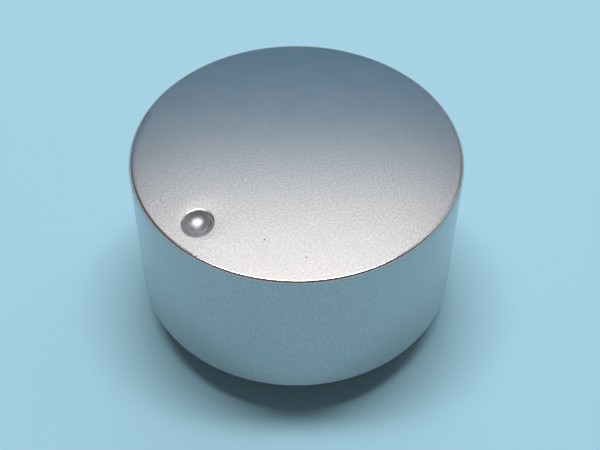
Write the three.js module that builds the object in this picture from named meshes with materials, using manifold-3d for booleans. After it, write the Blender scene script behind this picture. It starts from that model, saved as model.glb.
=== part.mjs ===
// Push-on control knob: a bead-blasted aluminium cap with a pressed finger dimple,
// a moulded hub glued inside it, and the spring-steel ring that clamps the hub's split boss.
// Millimetres, +Z up along the shaft axis. The origin is the centre of the boss's end face,
// which is what the knob stands on when it is off its shaft. The dimple points to -Y.
import * as THREE from "three";
import { mergeVertices } from "three/addons/utils/BufferGeometryUtils.js";
import Module from "manifold-3d";

const wasm = await Module();
wasm.setup();

// ---- Driving sizes ----
const knobDiameter = 40;
const capHeight = 20;
const bossStand = 5; // how far the boss stands out below the cap's rim

const capWall = 1.5;
const capTop = 2.6;
const capEdgeRadius = 0.6;
const capRimBreak = 0.25;
const capMouthChamfer = 0.4;
const capCornerRadius = 0.8; // inside, where the wall meets the top

const dimpleCentre = 15.9; // from the axis
const dimpleWidth = 3.92; // across the oval mouth, where the wall's line meets the top
const dimpleLength = 4.5;
const dimpleTurn = THREE.MathUtils.degToRad(38); // from the cap's radius to the oval's length
const dimpleDepth = 0.95;
const dimpleRimRadius = 0.45;

const hubFit = 0.1; // radial gap between the hub's pads and the cap
const glueGap = 0.3; // radial gap for the glue between the pads
const hubInset = 1.6; // the hub's skirt stops this far above the cap's rim
const hubSkirtWall = 1.6;
const hubWeb = 2.0;
const hubRootRadius = 1.0;
const hubEdgeChamfer = 0.4; // on the skirt's lower outside corner, where it enters the cap
const mouldDraft = THREE.MathUtils.degToRad(1);
const padCount = 6;
const padWidth = 3.0;

const bossDiameter = 11.6;
const bossChamfer = 0.4;
const bossSlotWidth = 1.2;
const bossSlotHeight = 9;

const shaftDiameter = 6.0;
const shaftFit = 0.05;
const shaftDepth = 12;
const boreLeadIn = 0.5;
const boreEndWall = 2.2; // between the bore's blind end and the core-out above it
const coreOutDiameter = 7.2;
const splineTeeth = 18;
const splineDepth = 0.3;
const splineRoot = 0.32; // half of a root's width between teeth, as a share of the pitch
const splineTipStart = 0.42; // where a tooth's tip starts and ends, as shares of the pitch
const splineTipEnd = 0.58;

const ribCount = 6;
const ribThickness = 1.2;
const ribDropAtBoss = 1.0; // how far above the slots the ribs meet the boss
const ribDropAtSkirt = 4.5; // how far above the skirt's lower edge the ribs meet it
const ribSink = 0.5; // how far a rib's ends run into the boss and the skirt

const springThickness = 0.6;
const springWidth = 3.6;
const springFit = 0.1;
const springGrooveDepth = 0.5;
const springLip = 1.3; // the collar that keeps the ring on the boss
const springGap = THREE.MathUtils.degToRad(46);
const springEndFlare = 0.9;

const roundSegments = 96;
const dimpleSegments = 40;
const dimpleBowlSteps = 6;
const dimpleRimSteps = 5;
const edgeSteps = 7;
const rimBreakSteps = 3;
const cornerSteps = 4;
const ribCurveSteps = 8;
const padCurveSteps = 4;
const springSteps = 56;
const cutterOverrun = 1; // how far a cutter passes the face that it opens

// ---- Sizes that follow ----
const knobRadius = knobDiameter / 2;
const rimZ = bossStand;
const topZ = bossStand + capHeight;
const ceilingZ = topZ - capTop;
const capBore = knobRadius - capWall;

const padRadius = capBore - hubFit;
const skirtRadius = capBore - glueGap;
const skirtInner = skirtRadius - hubSkirtWall;
const skirtZ = rimZ + hubInset;
const webZ = ceilingZ - hubWeb;

const bossRadius = bossDiameter / 2;
const boreRadius = shaftDiameter / 2 + shaftFit;
const springGroove = bossRadius - springGrooveDepth;
const springInner = springGroove + springFit;

// ---- Helpers ----
function arcPoints(centre, radius, from, to, steps) {
  return Array.from({ length: steps + 1 }, (_, i) => {
    const angle = from + ((to - from) * i) / steps;
    return new THREE.Vector2(centre.x + radius * Math.cos(angle), centre.y + radius * Math.sin(angle));
  });
}

// A solid of revolution about Z, from a profile of (radius, height) points.
function revolve(profile, segments) {
  return new THREE.LatheGeometry(profile, segments).rotateX(Math.PI / 2);
}

function toSolid(geometry) {
  const bare = geometry.clone();
  bare.deleteAttribute("normal");
  bare.deleteAttribute("uv");
  const merged = mergeVertices(bare, 1e-4);
  const index = merged.index.array;
  const triangles = [];
  for (let i = 0; i < index.length; i += 3) {
    const [a, b, c] = [index[i], index[i + 1], index[i + 2]];
    if (a !== b && b !== c && c !== a) triangles.push(a, b, c);
  }
  return new wasm.Manifold(
    new wasm.Mesh({
      numProp: 3,
      vertProperties: Float32Array.from(merged.attributes.position.array),
      triVerts: Uint32Array.from(triangles),
    }),
  );
}

function toGeometry(solid) {
  const mesh = solid.getMesh();
  const geometry = new THREE.BufferGeometry();
  geometry.setAttribute("position", new THREE.BufferAttribute(Float32Array.from(mesh.vertProperties), 3));
  geometry.setIndex(new THREE.BufferAttribute(Uint32Array.from(mesh.triVerts), 1));
  return geometry;
}

function extrudeUp(shape, height, z) {
  return new THREE.ExtrudeGeometry(shape, { depth: height, bevelEnabled: false }).translate(0, 0, z);
}

function around(count, make) {
  return Array.from({ length: count }, (_, i) => make((i * 2 * Math.PI) / count));
}

// ---- Cap ----
function capBody() {
  const rimCentre = new THREE.Vector2(knobRadius - capRimBreak, rimZ + capRimBreak);
  const edgeCentre = new THREE.Vector2(knobRadius - capEdgeRadius, topZ - capEdgeRadius);
  const cornerCentre = new THREE.Vector2(capBore - capCornerRadius, ceilingZ - capCornerRadius);
  return revolve(
    [
      new THREE.Vector2(0, ceilingZ),
      ...arcPoints(cornerCentre, capCornerRadius, Math.PI / 2, 0, cornerSteps),
      new THREE.Vector2(capBore, rimZ + capMouthChamfer),
      new THREE.Vector2(capBore + capMouthChamfer, rimZ),
      ...arcPoints(rimCentre, capRimBreak, -Math.PI / 2, 0, rimBreakSteps),
      ...arcPoints(edgeCentre, capEdgeRadius, 0, Math.PI / 2, edgeSteps),
      new THREE.Vector2(0, topZ),
    ],
    roundSegments,
  );
}

// The dimple is a bowl whose rim rolls over into the flat top, turned round and then
// stretched along one line into a slight oval.
function dimpleCutter() {
  const mouthRadius = dimpleWidth / 2;
  const wallAngle = 2 * Math.atan(dimpleDepth / mouthRadius);
  const bowlRadius = mouthRadius / Math.sin(wallAngle) - dimpleRimRadius;
  const bowlCentre = new THREE.Vector2(0, topZ - dimpleDepth + bowlRadius);
  const rimCentre = new THREE.Vector2(mouthRadius, topZ - dimpleRimRadius);
  const down = -Math.PI / 2;
  const up = Math.PI / 2;
  const runOut = THREE.MathUtils.degToRad(4); // the rim's last slope, which runs on past the top
  const runOutLength = 1;
  const rim = arcPoints(rimCentre, dimpleRimRadius, up + wallAngle, up + runOut, dimpleRimSteps);
  const last = rim.at(-1);
  const along = new THREE.Vector2(Math.cos(runOut), Math.sin(runOut));
  const clear = last.clone().addScaledVector(along, runOutLength);
  return revolve(
    [
      ...arcPoints(bowlCentre, bowlRadius, down, down + wallAngle, dimpleBowlSteps),
      ...rim.slice(1),
      clear,
      new THREE.Vector2(0, clear.y),
    ],
    dimpleSegments,
  )
    .scale(1, dimpleLength / dimpleWidth, 1)
    .rotateZ(dimpleTurn)
    .translate(0, -dimpleCentre, 0);
}

function capGeometry() {
  return toGeometry(toSolid(capBody()).subtract(toSolid(dimpleCutter())));
}

// ---- Hub ----
// The hub's turned forms in one section: web, skirt, boss, spring groove, root rounds and
// the core-out that keeps the boss from being a thick lump. Its walls thicken by the draft.
function hubBody() {
  const grooveTop = springLip + springWidth + 2 * springFit;
  const bossAtRoot = bossRadius + (webZ - grooveTop) * Math.tan(mouldDraft);
  const skirtAtRoot = skirtInner - (webZ - skirtZ) * Math.tan(mouldDraft);
  const bossRoot = new THREE.Vector2(bossAtRoot + hubRootRadius, webZ - hubRootRadius);
  const skirtRoot = new THREE.Vector2(skirtAtRoot - hubRootRadius, webZ - hubRootRadius);
  const shoulder = capCornerRadius; // clears the round inside the cap
  const coreFloorZ = shaftDepth + boreEndWall;
  const coreRadius = coreOutDiameter / 2;
  const coreFloorRadius = coreRadius - (ceilingZ - coreFloorZ) * Math.tan(mouldDraft);
  return revolve(
    [
      new THREE.Vector2(0, 0),
      new THREE.Vector2(bossRadius - bossChamfer, 0),
      new THREE.Vector2(bossRadius, bossChamfer),
      new THREE.Vector2(bossRadius, springLip),
      new THREE.Vector2(springGroove, springLip),
      new THREE.Vector2(springGroove, grooveTop),
      new THREE.Vector2(bossRadius, grooveTop + springGrooveDepth),
      ...arcPoints(bossRoot, hubRootRadius, Math.PI, Math.PI / 2, cornerSteps),
      ...arcPoints(skirtRoot, hubRootRadius, Math.PI / 2, 0, cornerSteps),
      new THREE.Vector2(skirtInner, skirtZ),
      new THREE.Vector2(skirtRadius - hubEdgeChamfer, skirtZ),
      new THREE.Vector2(skirtRadius, skirtZ + hubEdgeChamfer),
      new THREE.Vector2(skirtRadius, ceilingZ - shoulder),
      new THREE.Vector2(skirtRadius - shoulder, ceilingZ),
      new THREE.Vector2(coreRadius, ceilingZ),
      new THREE.Vector2(coreFloorRadius, coreFloorZ),
      new THREE.Vector2(0, coreFloorZ),
    ],
    roundSegments,
  );
}

// A rib hangs from the web and its lower edge sweeps from the boss out to the skirt.
function ribGeometry(angle) {
  const inner = bossRadius - ribSink;
  const outer = skirtInner + ribSink;
  const atBoss = bossSlotHeight + ribDropAtBoss;
  const atSkirt = skirtZ + ribDropAtSkirt;
  const top = webZ + ribSink;
  const shape = new THREE.Shape()
    .moveTo(inner, top)
    .lineTo(inner, atBoss)
    .lineTo(bossRadius, atBoss)
    .quadraticCurveTo((bossRadius + skirtInner) / 2, Math.max(atBoss, atSkirt) + ribSink, skirtInner, atSkirt)
    .lineTo(outer, atSkirt)
    .lineTo(outer, top);
  const options = { depth: ribThickness, bevelEnabled: false, curveSegments: ribCurveSteps };
  return new THREE.ExtrudeGeometry(shape, options)
    .translate(0, 0, -ribThickness / 2)
    .rotateX(Math.PI / 2)
    .rotateZ(angle);
}

// Pads on the skirt's outside centre the hub in the cap and leave room for glue between them.
function padGeometry(angle) {
  const halfAngle = padWidth / 2 / padRadius;
  const root = skirtRadius - ribSink;
  const shape = new THREE.Shape()
    .absarc(0, 0, padRadius, -halfAngle, halfAngle, false)
    .lineTo(root * Math.cos(halfAngle), root * Math.sin(halfAngle))
    .lineTo(root * Math.cos(halfAngle), -root * Math.sin(halfAngle));
  const height = ceilingZ - capCornerRadius - skirtZ - hubEdgeChamfer;
  const options = { depth: height, bevelEnabled: false, curveSegments: padCurveSteps };
  return new THREE.ExtrudeGeometry(shape, options)
    .translate(0, 0, skirtZ + hubEdgeChamfer)
    .rotateZ(angle);
}

// The splined bore: teeth point inwards and mesh with a knurled split shaft.
function boreCutter() {
  const tip = boreRadius - splineDepth;
  const pitch = (2 * Math.PI) / splineTeeth;
  const corners = [
    [boreRadius, -splineRoot],
    [boreRadius, splineRoot],
    [tip, splineTipStart],
    [tip, splineTipEnd],
  ];
  const points = [];
  for (let tooth = 0; tooth < splineTeeth; tooth += 1) {
    for (const [radius, share] of corners) {
      const angle = (tooth + share) * pitch;
      points.push(new THREE.Vector2(radius * Math.cos(angle), radius * Math.sin(angle)));
    }
  }
  return extrudeUp(new THREE.Shape(points), shaftDepth + cutterOverrun, -cutterOverrun);
}

function leadInCutter() {
  const mouth = boreRadius + boreLeadIn;
  return revolve(
    [
      new THREE.Vector2(0, -cutterOverrun),
      new THREE.Vector2(mouth, -cutterOverrun),
      new THREE.Vector2(mouth, 0),
      new THREE.Vector2(mouth - 2 * boreLeadIn, 2 * boreLeadIn),
      new THREE.Vector2(0, 2 * boreLeadIn),
    ],
    roundSegments / 2,
  );
}

function slotCutter(angle) {
  const length = bossDiameter + 2 * cutterOverrun;
  return new THREE.BoxGeometry(length, bossSlotWidth, bossSlotHeight + cutterOverrun)
    .translate(0, 0, (bossSlotHeight - cutterOverrun) / 2)
    .rotateZ(angle);
}

function hubGeometry() {
  const ribPhase = Math.PI / ribCount;
  let hub = toSolid(hubBody());
  for (const rib of around(ribCount, (angle) => ribGeometry(angle + ribPhase))) hub = hub.add(toSolid(rib));
  for (const pad of around(padCount, (angle) => padGeometry(angle + ribPhase))) hub = hub.add(toSolid(pad));
  hub = hub.subtract(toSolid(boreCutter())).subtract(toSolid(leadInCutter()));
  for (const angle of [Math.PI / 4, -Math.PI / 4]) hub = hub.subtract(toSolid(slotCutter(angle)));
  return toGeometry(hub);
}

// ---- Spring ring ----
// An open band of strip steel whose two ends flare out, so that a tool can spread it.
function springGeometry() {
  const outer = springInner + springThickness;
  const start = springGap / 2;
  const end = 2 * Math.PI - springGap / 2;
  const flare = (radius, angle, side) =>
    new THREE.Vector2(
      (radius + springEndFlare) * Math.cos(angle) - side * springThickness * Math.sin(angle),
      (radius + springEndFlare) * Math.sin(angle) + side * springThickness * Math.cos(angle),
    );
  const centre = new THREE.Vector2();
  const shape = new THREE.Shape([
    ...arcPoints(centre, outer, start, end, springSteps),
    flare(outer, end, 1),
    flare(springInner, end, 1),
    ...arcPoints(centre, springInner, end, start, springSteps),
    flare(springInner, start, -1),
    flare(outer, start, -1),
  ]);
  return extrudeUp(shape, springWidth, springLip).rotateZ(Math.PI / 2);
}

// ---- The knob ----
function piece(name, geometry, material) {
  const mesh = new THREE.Mesh(geometry, new THREE.MeshStandardMaterial(material));
  mesh.name = name;
  return mesh;
}

const knob = new THREE.Group();
knob.add(piece("cap", capGeometry(), { color: 0xb9bbbd, roughness: 0.38, metalness: 1 }));
knob.add(piece("hub", hubGeometry(), { color: 0x1b1c1e, roughness: 0.55, metalness: 0 }));
knob.add(piece("spring_ring", springGeometry(), { color: 0x8d9094, roughness: 0.3, metalness: 1 }));

export default knob;
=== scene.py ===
import math

import bmesh
import bpy
import numpy as np
from mathutils import Matrix, Vector


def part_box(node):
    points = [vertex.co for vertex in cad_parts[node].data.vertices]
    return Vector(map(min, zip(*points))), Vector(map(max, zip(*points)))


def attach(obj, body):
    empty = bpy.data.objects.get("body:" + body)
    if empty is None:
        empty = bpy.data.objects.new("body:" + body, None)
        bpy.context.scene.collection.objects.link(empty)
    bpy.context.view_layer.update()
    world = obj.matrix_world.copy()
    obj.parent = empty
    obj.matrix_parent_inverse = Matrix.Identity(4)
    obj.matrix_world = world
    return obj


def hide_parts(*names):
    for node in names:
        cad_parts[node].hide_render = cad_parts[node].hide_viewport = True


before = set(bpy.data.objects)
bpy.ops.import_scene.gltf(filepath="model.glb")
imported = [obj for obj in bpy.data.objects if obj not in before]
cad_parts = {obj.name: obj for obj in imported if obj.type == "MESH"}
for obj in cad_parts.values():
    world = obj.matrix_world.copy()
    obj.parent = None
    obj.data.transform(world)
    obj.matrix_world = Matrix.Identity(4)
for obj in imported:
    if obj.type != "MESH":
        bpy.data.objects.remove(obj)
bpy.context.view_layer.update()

MM = 0.001
scene = bpy.context.scene

# ---- Sizes, in millimetres ----
# The main ones are the solids' own. What is finer than the solids show is only here: the
# mould's break, the ribs' rounded edge, the pin marks, and the ring's corners and bent ends.
cap_low, cap_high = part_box("cap")
knob_radius = cap_high.x / MM
rim_z = cap_low.z / MM
top_z = cap_high.z / MM

cap_wall = 1.5
cap_top = 2.6
cap_rim_break = 0.25
cap_mouth_chamfer = 0.4
cap_corner_radius = 0.8
cap_bore = knob_radius - cap_wall
ceiling_z = top_z - cap_top
# The solid has 0.6 here, but the line of light along the edge is as fine as this gives.
cap_edge_radius = 0.45

dimple_centre = 15.9
dimple_radius = 1.96
dimple_stretch = 1.146
dimple_turn = math.radians(38)
dimple_depth = 0.95
dimple_rim_radius = 0.45

hub_fit = 0.1
glue_gap = 0.3
skirt_wall = 1.6
skirt_chamfer = 0.4
skirt_z = rim_z + 1.6
skirt_radius = cap_bore - glue_gap
skirt_inner = skirt_radius - skirt_wall
pad_half_width = 1.5
web_z = ceiling_z - 2.0
root_radius = 1.0
mould_break = 0.2
mould_draft = math.tan(math.radians(1))

boss_radius = 5.8
boss_chamfer = 0.4
boss_slot_width = 1.2
boss_slot_height = 9
bore_radius = 3.05
bore_depth = 12
bore_lead_in = 0.5
core_out_radius = 3.6
core_floor_z = bore_depth + 2.2
spline_teeth = 18
spline_depth = 0.3
# Half a root's width between teeth, and a tooth tip's start and end, as shares of the pitch.
spline_root, spline_tip_start, spline_tip_end = 0.32, 0.42, 0.58

rib_count = 6
rib_thickness = 1.2
rib_boss_z = boss_slot_height + 1.0
rib_skirt_z = skirt_z + 4.5
rib_arch = 0.5
rib_round = 0.6  # height of a rib's rounded edge, as a share of its half thickness

pin_circle = 12.4
pin_radius = 1.25
pin_mark_depth = 0.08

ring_thickness = 0.6
ring_width = 3.6
ring_lip = 1.3
ring_fit = 0.1
ring_corner = 0.12
groove_radius = boss_radius - 0.5
ring_inner = groove_radius + ring_fit
ring_gap = math.radians(46)
flare_angle = 0.09  # radians that each flared end takes from the ring's round
flare_radius = 0.5
flare_turn = math.radians(68)
flare_length = 0.45

sink = 0.5  # how far a piece reaches into the one that it is joined to
overrun = 1  # how far a cutter passes the face that it opens

# The knob stands turned this far from facing the camera.
knob_turn = math.radians(44.6)


# ---- Shapes ----
def arc(centre, radius, start, end, steps):
    """Points (across, up) along an arc, from start to end in degrees."""
    angles = np.radians(np.linspace(start, end, steps + 1))
    return [(centre[0] + radius * math.cos(a), centre[1] + radius * math.sin(a)) for a in angles]


def line(start, end, steps):
    return [tuple(p) for p in np.linspace(start, end, steps + 1)]


def circle(radius, z, count=240):
    """A level circle round the knob's axis, or its one point where the radius is nothing."""
    if radius < 1e-6:
        return [(0, 0, z)]
    angles = np.arange(count) * 2 * math.pi / count
    return [(radius * math.cos(a), radius * math.sin(a), z) for a in angles]


def middle_of(loop):
    return [tuple(np.mean(loop, axis=0))]


def shell(name, loops):
    """A mesh through loops of points; a loop of one point closes an end."""
    points = [p for loop in loops for p in loop]
    starts = np.cumsum([0] + [len(loop) for loop in loops])
    faces = []
    for one, two, a, b in zip(loops, loops[1:], starts, starts[1:]):
        count = max(len(one), len(two))
        for i in range(count):
            j = (i + 1) % count
            if len(one) == 1:
                faces.append((a, b + i, b + j))
            elif len(two) == 1:
                faces.append((a + j, a + i, b))
            else:
                faces.append((a + i, b + i, b + j, a + j))
    mesh = bpy.data.meshes.new(name)
    mesh.from_pydata([Vector(p) * MM for p in points], [], faces)
    outward = bmesh.new()
    outward.from_mesh(mesh)
    bmesh.ops.recalc_face_normals(outward, faces=outward.faces)
    outward.to_mesh(mesh)
    outward.free()
    piece = bpy.data.objects.new(name, mesh)
    scene.collection.objects.link(piece)
    return piece


def turned(name, profile, count=240):
    """A solid of revolution round the knob's axis from (radius, height) points."""
    return shell(name, [circle(r, z, count) for r, z in profile])


def prism(name, outline, low, high):
    """A straight solid on an outline of (x, y) points."""
    x, y = middle_of(outline)[0]
    ends = [[(*p, z) for p in outline] for z in (low, high)]
    return shell(name, [[(x, y, low)], *ends, [(x, y, high)]])


def combine(piece, tool, operation):
    """Adds one closed solid to another or cuts it away."""
    step = piece.modifiers.new(operation, "BOOLEAN")
    step.object = tool
    step.operation = operation
    step.solver = "MANIFOLD"
    bpy.context.view_layer.update()
    shaped = piece.evaluated_get(bpy.context.evaluated_depsgraph_get())
    made = bpy.data.meshes.new_from_object(shaped)
    piece.modifiers.clear()
    piece.data = made
    bpy.data.objects.remove(tool)


def turn(piece, angle):
    piece.data.transform(Matrix.Rotation(angle, 4, "Z"))
    return piece


def finish(piece, materials, cad, sharp=30):
    """Shades a piece, gives it its materials and sets it in the frame."""
    piece.data.materials.clear()
    for made in materials:
        piece.data.materials.append(made)
    piece.data.shade_smooth()
    piece.data.set_sharp_from_angle(angle=math.radians(sharp))
    even = piece.modifiers.new("even_shading", "WEIGHTED_NORMAL")
    even.keep_sharp = True
    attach(piece, "root")
    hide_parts(cad)


# ---- Materials ----
# The sockets of a mix node by number, because several share one name.
SHARE, VALUE_A, VALUE_B, COLOUR_A, COLOUR_B, MIXED_COLOUR = 0, 2, 3, 6, 7, 2
# Nearly all of a noise pattern lies between these two values.
PATTERN = {"From Min": 0.3, "From Max": 0.7}
# Full at the near end of a range and nothing at its far end.
FADE_OUT = {"To Min": 1.0, "To Max": 0.0}


def colour(code):
    """An sRGB hex colour as the linear values that a shader takes."""
    parts = [int(code[i : i + 2], 16) / 255 for i in (1, 3, 5)]
    return [c / 12.92 if c <= 0.04045 else ((c + 0.055) / 1.055) ** 2.4 for c in parts] + [1]


def add(tree, kind, inputs, out=0, into=None, **settings):
    """Adds a shader node with its settings and links, and gives back one of its outputs.

    An input is a value, a hex colour or another node's output; into is a socket to feed.
    """
    node = tree.nodes.new("ShaderNode" + kind)
    for name, value in settings.items():
        setattr(node, name, value)
    for name, value in inputs.items():
        if isinstance(value, bpy.types.NodeSocket):
            tree.links.new(value, node.inputs[name])
        else:
            node.inputs[name].default_value = colour(value) if isinstance(value, str) else value
    if into is not None:
        tree.links.new(node.outputs[out], into)
    return node.outputs[out]


def surface(name, **values):
    """A material with plain values set, its tree, its shader's inputs and a place on the object."""
    made = bpy.data.materials.new(name)
    made.use_nodes = True
    tree = made.node_tree
    shader = tree.nodes["Principled BSDF"].inputs
    for socket, value in values.items():
        shader[socket.replace("_", " ")].default_value = value
    return made, tree, shader, add(tree, "TexCoord", {}, "Object")


# Aluminium, turned, bead-blasted and clear anodised: a close even grain of shallow peened
# pits under the open satin gloss of the anodising, with painted glints: each pit's colour is
# set a little lighter or darker, as if it caught the light. The real pits are about 0.05 mm
# wide and are drawn at 0.25 mm so that they show.
def blasted_aluminium():
    made, tree, shader, place = surface("blasted_anodised_aluminium", Metallic=1.0)
    pit_width, pit_depth, patch_width = 0.25 * MM, 0.003 * MM, 2.5 * MM
    peened = {"Vector": place, "Scale": 1 / pit_width, "Detail": 2.0, "Roughness": 0.6}
    pits = add(tree, "TexNoise", peened)
    bump = {"Height": pits, "Strength": 1.0, "Distance": pit_depth}
    add(tree, "Bump", bump, into=shader["Normal"])

    # The beads strike the hollow from all round and leave it duller than the flat; its colour is
    # also painted darker there, as painted shade in the recess. That finish and that shade are
    # full this far under the flat, and fade out at this distance round it.
    lip_depth, fade_start, fade_end, hollow_roughness = 0.15, 3, 3.4, 0.4
    height = add(tree, "SeparateXYZ", {"Vector": place}, "Z")
    below = {"Value": height, "From Min": (top_z - lip_depth) * MM, "From Max": top_z * MM}
    deep = add(tree, "MapRange", {**below, **FADE_OUT})
    mouth = Vector((0, -dimple_centre, top_z)) * MM
    away = add(tree, "VectorMath", {0: place, 1: mouth}, "Value", operation="DISTANCE")
    round_mouth = {"Value": away, "From Min": fade_start * MM, "From Max": fade_end * MM}
    close = add(tree, "MapRange", {**round_mouth, **FADE_OUT})
    hollow = add(tree, "Math", {0: deep, 1: close}, operation="MULTIPLY")

    # The blasting is a little uneven from one patch of the flat to the next.
    uneven = {"Vector": place, "Scale": 1 / patch_width, "Detail": 3.0, "Roughness": 0.55}
    patches = add(tree, "TexNoise", uneven)
    flat = add(tree, "MapRange", {"Value": patches, **PATTERN, "To Min": 0.215, "To Max": 0.23})
    duller = {SHARE: hollow, VALUE_A: flat, VALUE_B: hollow_roughness}
    add(tree, "Mix", duller, into=shader["Roughness"], data_type="FLOAT")

    # A few specks of dust that have bedded in the grain of the top, each as x, y and width.
    dust = ((7.2, -12.3, 0.26), (12.3, -10.9, 0.24), (2.6, -3.3, 0.16), (11.3, 4.7, 0.15))
    specks = 0.0
    for x, y, width in dust:
        speck = Vector((x, y, top_z)) * MM
        gap = add(tree, "VectorMath", {0: place, 1: speck}, "Value", operation="DISTANCE")
        soft_edge = {"Value": gap, "From Min": 0.3 * width * MM, "From Max": 0.7 * width * MM}
        near = add(tree, "MapRange", {**soft_edge, **FADE_OUT})
        specks = add(tree, "Math", {0: specks, 1: near}, operation="MAXIMUM")

    # Painted glints: the same noise as the pits' bumps sets each pit's colour lighter or darker.
    painted_glint = add(tree, "MapRange", {"Value": pits, **PATTERN})
    grain = {SHARE: painted_glint, COLOUR_A: "#A9AAAC", COLOUR_B: "#BEBFC0"}
    metal = add(tree, "Mix", grain, MIXED_COLOUR, data_type="RGBA")
    # Painted shade: the hollow's colour is made darker than the flat's.
    painted_hollow_shade = {SHARE: hollow, COLOUR_A: metal, COLOUR_B: "#A4A3A7"}
    metal = add(tree, "Mix", painted_hollow_shade, MIXED_COLOUR, data_type="RGBA")
    dusty = {SHARE: specks, COLOUR_A: metal, COLOUR_B: "#77787A"}
    add(tree, "Mix", dusty, MIXED_COLOUR, shader["Base Color"], data_type="RGBA")
    return made


# The same aluminium inside, where the blasting doesn't reach: fine rings at the boring
# bar's feed of 0.15 mm under the anodising.
def bored_aluminium():
    made, tree, shader, place = surface("bored_anodised_aluminium", Metallic=1.0)
    feed, ring_depth, smear_width = 0.15 * MM, 0.0008 * MM, 1.5 * MM
    height = add(tree, "SeparateXYZ", {"Vector": place}, "Z")
    turns = add(tree, "Math", {0: height, 1: 2 * math.pi / feed}, operation="MULTIPLY")
    rings = add(tree, "Math", {0: turns}, operation="SINE")
    bump = {"Height": rings, "Strength": 1.0, "Distance": ring_depth}
    add(tree, "Bump", bump, into=shader["Normal"])
    smears = add(tree, "TexNoise", {"Vector": place, "Scale": 1 / smear_width, "Detail": 3.0})
    gloss = {"Value": smears, **PATTERN, "To Min": 0.28, "To Max": 0.36}
    add(tree, "MapRange", gloss, into=shader["Roughness"])
    metal = {SHARE: smears, COLOUR_A: "#A5A6A8", COLOUR_B: "#ABACAE"}
    add(tree, "Mix", metal, MIXED_COLOUR, shader["Base Color"], data_type="RGBA")
    return made


# Black ABS, injection moulded in a spark-eroded tool: a fine matt grain, drawn at 0.12 mm,
# and a soft sheen that is a little uneven where the plastic flowed.
def moulded_abs():
    made, tree, shader, place = surface("moulded_black_abs", IOR=1.53)
    grain_width, grain_depth, flow_width = 0.12 * MM, 0.004 * MM, 3.0 * MM
    grain = add(tree, "TexNoise", {"Vector": place, "Scale": 1 / grain_width, "Detail": 3.0})
    bump = {"Height": grain, "Strength": 1.0, "Distance": grain_depth}
    add(tree, "Bump", bump, into=shader["Normal"])
    flow = add(tree, "TexNoise", {"Vector": place, "Scale": 1 / flow_width, "Detail": 2.0})
    sheen = {"Value": flow, **PATTERN, "To Min": 0.46, "To Max": 0.56}
    add(tree, "MapRange", sheen, into=shader["Roughness"])
    plastic = {SHARE: flow, COLOUR_A: "#1B1C1E", COLOUR_B: "#202123"}
    add(tree, "Mix", plastic, MIXED_COLOUR, shader["Base Color"], data_type="RGBA")
    return made


# Spring steel strip, rolled and tempered: bright, with rolling lines about 0.08 mm apart
# along its length.
def rolled_steel():
    made, tree, shader, place = surface("rolled_spring_steel", Metallic=1.0)
    line_width, line_depth, along_strip = 0.08 * MM, 0.0004 * MM, 0.03
    drawn_out = add(tree, "Mapping", {"Vector": place, "Scale": (along_strip, along_strip, 1.0)})
    lines = add(tree, "TexNoise", {"Vector": drawn_out, "Scale": 1 / line_width, "Detail": 3.0})
    bump = {"Height": lines, "Strength": 1.0, "Distance": line_depth}
    add(tree, "Bump", bump, into=shader["Normal"])
    gloss = {"Value": lines, **PATTERN, "To Min": 0.24, "To Max": 0.36}
    add(tree, "MapRange", gloss, into=shader["Roughness"])
    metal = {SHARE: lines, COLOUR_A: "#85888C", COLOUR_B: "#94979B"}
    add(tree, "Mix", metal, MIXED_COLOUR, shader["Base Color"], data_type="RGBA")
    return made


# ---- Cap ----
def dimple_ring(radius, z):
    """A ring of the oval dimple, lined up with the cap's own rings."""
    along = Matrix.Rotation(dimple_turn, 2)
    stretch = along @ Matrix(((1, 0), (0, dimple_stretch))) @ Matrix.Rotation(-dimple_turn, 2)
    centre = Vector((0, -dimple_centre))
    return [(*(stretch @ Vector((x, y)) + centre), z) for x, y, z in circle(radius, z)]


def cap():
    """The turned cup: from the dimple's middle over the top, down outside and up inside."""
    steep = math.degrees(2 * math.atan(dimple_depth / dimple_radius))
    bowl_radius = dimple_radius / math.sin(math.radians(steep)) - dimple_rim_radius
    bowl_centre = (0, top_z - dimple_depth + bowl_radius)
    lip_centre = (dimple_radius, top_z - dimple_rim_radius)
    bowl = arc(bowl_centre, bowl_radius, -90, -90 + steep, steps=14)
    lip = arc(lip_centre, dimple_rim_radius, 90 + steep, 90, steps=12)
    loops = [dimple_ring(r, z) for r, z in bowl + lip[1:]]

    flat_radius = knob_radius - cap_edge_radius
    mouth, edge = np.array(loops[-1]), np.array(circle(flat_radius, top_z))
    loops += [(1 - share) * mouth + share * edge for share in np.linspace(0, 1, num=13)[1:]]

    edge_centre = (flat_radius, top_z - cap_edge_radius)
    rim_centre = (knob_radius - cap_rim_break, rim_z + cap_rim_break)
    corner_centre = (cap_bore - cap_corner_radius, ceiling_z - cap_corner_radius)
    outside = arc(edge_centre, cap_edge_radius, 90, 0, steps=12)[1:]
    outside += line(outside[-1], (knob_radius, rim_centre[1]), steps=12)[1:]
    outside += arc(rim_centre, cap_rim_break, 0, -90, steps=6)[1:]
    inside = [(cap_bore + cap_mouth_chamfer, rim_z), (cap_bore, rim_z + cap_mouth_chamfer)]
    inside += line(inside[-1], (cap_bore, corner_centre[1]), steps=8)[1:]
    inside += arc(corner_centre, cap_corner_radius, 0, 90, steps=6)[1:]
    inside += line(inside[-1], (0, ceiling_z), steps=6)[1:]
    loops += [circle(r, z) for r, z in outside + inside]

    piece = shell("cap_turned", loops)
    finish(piece, [blasted_aluminium(), bored_aluminium()], "cap")
    slack = 0.01
    for face in piece.data.polygons:
        radius = math.hypot(face.center.x, face.center.y) / MM
        in_bore = radius < cap_bore + cap_mouth_chamfer
        under_ceiling = face.center.z / MM < ceiling_z + slack
        face.material_index = 1 if in_bore and under_ceiling else 0


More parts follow.
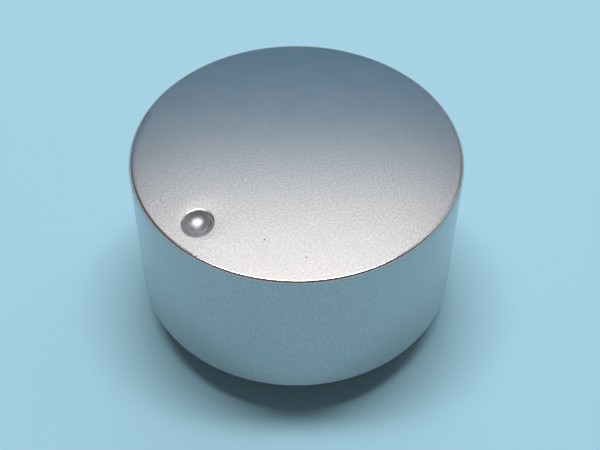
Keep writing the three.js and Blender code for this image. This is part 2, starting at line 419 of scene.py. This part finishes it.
# ---- Hub ----
def rib(angle):
    """A rib that hangs from the web, thinner towards its rounded lower edge."""
    top = web_z + sink
    middle = (boss_radius + skirt_inner) / 2
    crest = max(rib_boss_z, rib_skirt_z) + rib_arch
    start, bend, end = (boss_radius, rib_boss_z), (middle, crest), (skirt_inner, rib_skirt_z)
    stations = [(boss_radius - sink, rib_boss_z)]
    for t in np.linspace(0, 1, num=17):
        curve = zip(start, bend, end)
        stations.append([(1 - t) ** 2 * p + 2 * t * (1 - t) * q + t * t * s for p, q, s in curve])
    stations.append((skirt_inner + sink, rib_skirt_z))
    loops = []
    half = rib_thickness / 2
    for x, low in stations:
        toe = half - (top - low) * mould_draft / 2
        lower = []
        for a in np.linspace(0, math.pi, num=9):
            lower.append((x, -toe * math.cos(a), low + toe * rib_round * (1 - math.sin(a))))
        loops.append([(x, -half, top), *lower, (x, half, top)])
    return turn(shell("rib", [middle_of(loops[0]), *loops, middle_of(loops[-1])]), angle)


def pad(angle):
    """A pad on the skirt's outside, which centres the hub in the cap."""
    radius, root, half = cap_bore - hub_fit, skirt_radius - sink, pad_half_width / cap_bore
    spread = np.linspace(-half, half, num=9)
    outline = [(radius * math.cos(a), radius * math.sin(a)) for a in spread]
    outline += [(root * math.cos(a), root * math.sin(a)) for a in spread[::-1]]
    low, high = skirt_z + skirt_chamfer, ceiling_z - cap_corner_radius
    return turn(prism("pad", outline, low, high), angle)


def bore_cutter():
    """The splined bore: teeth that point inwards."""
    pitch = 2 * math.pi / spline_teeth
    tip = bore_radius - spline_depth
    flank = [(bore_radius, share) for share in (-spline_root, 0, spline_root)]
    flank += [(tip, spline_tip_start), (tip, spline_tip_end)]
    outline = []
    for tooth in range(spline_teeth):
        angles = [(r, (tooth + share) * pitch) for r, share in flank]
        outline += [(r * math.cos(a), r * math.sin(a)) for r, a in angles]
    return prism("bore", outline, -overrun, bore_depth)


def slot_cutter(angle):
    half, reach = boss_slot_width / 2, boss_radius + overrun
    outline = [(-reach, -half), (reach, -half), (reach, half), (-reach, half)]
    return turn(prism("slot", outline, -overrun, boss_slot_height), angle)


def pin_cutter(angle):
    """The round mark of an ejector pin in the web."""
    low, high = web_z - overrun / 2, web_z + pin_mark_depth
    profile = [(0, low), (pin_radius, low), (pin_radius, high), (0, high)]
    pin = turned("ejector_pin", profile, count=48)
    pin.data.transform(Matrix.Translation(Vector((pin_circle, 0, 0)) * MM))
    return turn(pin, angle)


def hub():
    """The moulding: from the boss's end out over web and skirt and back in over the top."""
    groove_top = ring_lip + ring_width + 2 * ring_fit
    boss_root = boss_radius + (web_z - groove_top) * mould_draft + root_radius
    skirt_root = skirt_inner - (web_z - skirt_z) * mould_draft - root_radius
    shoulder = cap_corner_radius
    lip_centre = (boss_radius - mould_break, ring_lip - mould_break)
    foot_centre = (skirt_inner + mould_break, skirt_z + mould_break)
    core_radius = core_out_radius - (ceiling_z - core_floor_z) * mould_draft
    profile = [(0, 0), (boss_radius - boss_chamfer, 0)]
    profile += arc((boss_radius - boss_chamfer, boss_chamfer), boss_chamfer, -90, 0, steps=5)[1:]
    profile += arc(lip_centre, mould_break, 0, 90, steps=4)
    profile += [(groove_radius, ring_lip), (groove_radius, groove_top)]
    profile += [(boss_radius, groove_top + boss_radius - groove_radius)]
    profile += arc((boss_root, web_z - root_radius), root_radius, 180, 90, steps=8)
    profile += arc((skirt_root, web_z - root_radius), root_radius, 90, 0, steps=8)
    profile += arc(foot_centre, mould_break, 180, 270, steps=5)
    profile += [(skirt_radius - skirt_chamfer, skirt_z), (skirt_radius, skirt_z + skirt_chamfer)]
    profile += [(skirt_radius, ceiling_z - shoulder), (skirt_radius - shoulder, ceiling_z)]
    profile += [(core_out_radius, ceiling_z), (core_radius, core_floor_z), (0, core_floor_z)]
    body = turned("hub_moulding", profile, count=192)

    step = 2 * math.pi / rib_count
    for k in range(rib_count):
        combine(body, rib(step * (k + 0.5)), "UNION")
        combine(body, pad(step * (k + 0.5)), "UNION")
    combine(body, bore_cutter(), "DIFFERENCE")
    mouth, depth = bore_radius + bore_lead_in, 1
    cone = [(0, -overrun), (mouth, -overrun), (mouth, 0), (mouth - depth, depth), (0, depth)]
    combine(body, turned("lead_in", cone, count=96), "DIFFERENCE")
    for angle in (math.pi / 4, -math.pi / 4):
        combine(body, slot_cutter(angle), "DIFFERENCE")
    for k in range(rib_count):
        combine(body, pin_cutter(step * k), "DIFFERENCE")
    finish(body, [moulded_abs()], "hub", sharp=25)


# ---- Spring ring ----
def ring():
    """Rounded strip bent round the boss, with both ends flared out on a small bend."""
    middle = ring_inner + ring_thickness / 2
    start, end = ring_gap / 2 + flare_angle, 2 * math.pi - ring_gap / 2 - flare_angle
    round_boss = np.linspace(start, end, num=121)
    path = [(np.array((math.cos(a), math.sin(a))) * middle, a) for a in round_boss]

    flares = []
    for side, (at, a) in ((-1, path[0]), (1, path[-1])):
        along = np.array((-math.sin(a), math.cos(a))) * side
        out = np.array((math.cos(a), math.sin(a)))
        flare = []
        for heading in np.linspace(0, 1, num=9)[1:] * flare_turn:
            spot = at + along * flare_radius * math.sin(heading)
            spot = spot + out * flare_radius * (1 - math.cos(heading))
            flare.append((spot, a, heading * side))
        direction = along * math.cos(flare_turn) + out * math.sin(flare_turn)
        flare.append((flare[-1][0] + direction * flare_length, a, flare_turn * side))
        flares.append(flare)
    stations = flares[0][::-1] + [(at, a, 0.0) for at, a in path] + flares[1]

    half_t, half_w = ring_thickness / 2 - ring_corner, ring_width / 2 - ring_corner
    section = []
    for k, (st, sw) in enumerate(((1, 1), (-1, 1), (-1, -1), (1, -1))):
        corner = arc((0, 0), ring_corner, 90 * k, 90 * k + 90, steps=3)
        section += [(st * half_t + t, sw * half_w + w) for t, w in corner]
    mid_z = ring_lip + ring_width / 2
    loops = []
    for at, a, heading in stations:
        out = np.array((math.cos(a - heading), math.sin(a - heading)))
        loops.append([(*(at + out * t), mid_z + w) for t, w in section])
    piece = shell("spring_ring_formed", [middle_of(loops[0]), *loops, middle_of(loops[-1])])
    finish(turn(piece, math.pi / 2), [rolled_steel()], "spring_ring")


cap()
hub()
ring()


# ---- Studio, in metres ----
def studio(x, y, z):
    """A point given across, beyond and above, as the camera sees it, in the knob's frame."""
    return Matrix.Rotation(knob_turn, 3, "Z") @ Vector((x, y, z))


def shown(tree):
    """One where a thing shows, itself or in metal or glass; nothing where it only lights others."""
    kinds = ("Camera", "Glossy", "Transmission")
    rays = [add(tree, "LightPath", {}, f"Is {kind} Ray") for kind in kinds]
    mirrored = add(tree, "Math", {0: rays[1], 1: rays[2]}, operation="MAXIMUM")
    return add(tree, "Math", {0: rays[0], 1: mirrored}, operation="MAXIMUM")


# Uncoated card, pressed flat: matt and even, so that the knob's shadow lies plainly on it.
def plain_card(name, code, far_glow=0):
    """A card whose far parts, which the lamps don't reach, can stay as pale as the near ones."""
    look = {"Base_Color": colour(code), "Emission_Color": colour(code)}
    made, tree, shader, place = surface(name, **look, Roughness=0.9, Specular_IOR_Level=0.1)
    lit, unlit = 0.12, 0.7
    away = add(tree, "VectorMath", {0: place}, "Value", operation="LENGTH")
    fade = {"Value": away, "From Min": lit, "From Max": unlit, "To Min": 0.0, "To Max": far_glow}
    glow = {0: add(tree, "MapRange", fade), 1: shown(tree)}
    add(tree, "Math", glow, into=shader["Emission Strength"], operation="MULTIPLY")
    return made


def card(name, corners, made):
    """A flat card of the stage through four points as the camera sees them."""
    mesh = bpy.data.meshes.new(name)
    mesh.from_pydata([studio(*p) for p in corners], [], [(0, 1, 2, 3)])
    mesh.materials.append(made)
    piece = bpy.data.objects.new(name, mesh)
    scene.collection.objects.link(piece)


def softbox(name, middle, width, depth, watts, code="#FFFFFF", facing=(0, 0, -1)):
    """A soft lamp that faces the given way, or straight down."""
    light = bpy.data.lights.new(name, "AREA")
    light.color = colour(code)[:3]
    light.shape = "RECTANGLE"
    light.size, light.size_y = width, depth
    light.energy = watts
    lamp = bpy.data.objects.new(name, light)
    scene.collection.objects.link(lamp)
    place = Matrix.Translation(studio(*middle)) @ Matrix.Rotation(knob_turn, 4, "Z")
    lamp.matrix_world = place @ Vector(facing).to_track_quat("-Z", "Y").to_matrix().to_4x4()


def camera(lens, elevation, distance, pan, tilt, roll):
    """A camera aimed off the middle of the knob's top; millimetres and degrees."""
    sight = bpy.data.cameras.new("camera")
    sight.lens = lens
    sight.sensor_width = 36
    sight.clip_start = 0.001
    stand = bpy.data.objects.new("camera", sight)
    scene.collection.objects.link(stand)
    elevation, pan, tilt, roll = (math.radians(a) for a in (elevation, pan, tilt, roll))
    away = Vector((0, -math.cos(elevation), math.sin(elevation)))
    level = Matrix(((1, 0, 0), tuple(Vector((1, 0, 0)).cross(-away)), tuple(away))).transposed()
    aim = Matrix.Rotation(pan, 3, "Y") @ Matrix.Rotation(tilt, 3, "X")
    aim = level @ aim @ Matrix.Rotation(roll, 3, "Z")
    place = studio(*(away * distance)) + Vector((0, 0, top_z))
    facing = Matrix.Rotation(knob_turn, 3, "Z") @ aim
    stand.matrix_world = Matrix.Translation(place * MM) @ facing.to_4x4()
    scene.camera = stand


def room(code, overhead, light, pale):
    """A plain room, dark overhead, with walls that show paler than the light they give."""
    made = bpy.data.worlds.new("room")
    made.use_nodes = True
    tree = made.node_tree
    back = tree.nodes["Background"].inputs
    back["Color"].default_value = colour(code)
    height = add(tree, "SeparateXYZ", {"Vector": add(tree, "TexCoord", {}, "Generated")}, "Z")
    seen = {SHARE: shown(tree), VALUE_A: light, VALUE_B: pale}
    walls = add(tree, "Mix", seen, data_type="FLOAT")
    walls_end, ceiling_start = 0.3, 0.62
    fade = {"From Min": walls_end, "From Max": ceiling_start, "To Min": walls, "To Max": overhead}
    add(tree, "MapRange", {"Value": height, **fade}, into=back["Strength"])
    scene.world = made


far = 2
floor = [(-far, -far, 0), (far, -far, 0), (far, far, 0), (-far, far, 0)]
half, beyond, low, high = 0.24, 0.5, 0.305, 0.552
backdrop = [(-half, beyond, low), (half, beyond, low), (half, beyond, high), (-half, beyond, high)]
card("floor", floor, plain_card("pale_card", "#A3CFE0", far_glow=0.7))
card("backdrop", backdrop, plain_card("blue_card", "#107EA6"))
softbox("strip_softbox", (0, 0.055, 0.6), width=0.44, depth=0.085, watts=2.9)
softbox("middle_softbox", (0, 0.23, 0.6), width=0.26, depth=0.25, watts=0.2, code="#FFFAF6")
softbox("far_softbox", (0, 0.445, 0.6), width=0.26, depth=0.175, watts=0.35, code="#FFF8F3")
side = (0.36, 0.25, 0.56)
softbox("side_softbox", side, width=0.16, depth=0.3, watts=0.3, facing=(-0.36, -0.25, -0.54))
room("#FFFFFF", overhead=0.1, light=0.36, pale=0.75)
camera(lens=68.45, elevation=44.72, distance=136.6, pan=-0.185, tilt=-3.655, roll=0.181)
scene.view_settings.view_transform = "Standard"
